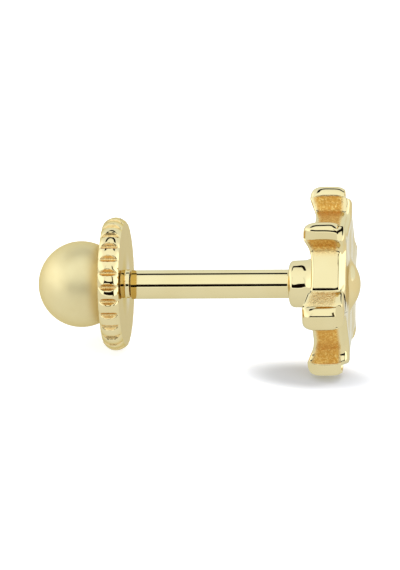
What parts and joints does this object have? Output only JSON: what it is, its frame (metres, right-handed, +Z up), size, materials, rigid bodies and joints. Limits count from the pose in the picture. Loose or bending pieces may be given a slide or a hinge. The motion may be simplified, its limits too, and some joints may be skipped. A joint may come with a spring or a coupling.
{
  "type": "helix earring",
  "caption": "Straight ear stud: a star-shaped head on a collared hollow post, with a satin ball back whose knurled grip unscrews on a hidden pin.",
  "frame": {"origin": "centre of the bounding box's base, on the surface that the stud rests on", "axes": "+X from the ball back to the star, level; +Z up; the post rises 4.9 degrees towards the star"},
  "size_m": [0.0112, 0.0066, 0.0059],
  "materials": {
    "polished_gold": "polished yellow gold, rough in the recesses between the arms",
    "satin_gold": "satin yellow gold with a polished grip",
    "pin_gold": "plain machined yellow gold"
  },
  "bodies": {
    "stud": {"star_stud": "polished_gold"},
    "pin": {"screw_pin": "pin_gold"},
    "back": {"knurled_ball_back": "satin_gold"}
  },
  "joints": [
    {"name": "pin_out", "type": "slide", "parent": "stud", "child": "pin", "axis": [-0.9963, 0, -0.0858], "range_m": [0, 0.0024]},
    {"name": "back_turn", "type": "hinge", "parent": "pin", "child": "back", "pos_m": [-0.00257, 0, 0.00235], "axis": [-0.9963, 0, -0.0858], "range_deg": [0, 4320]}
  ],
  "couplings": [
    {"joint": "back_turn", "follows": "pin_out", "rad_per_m": 31416}
  ]
}
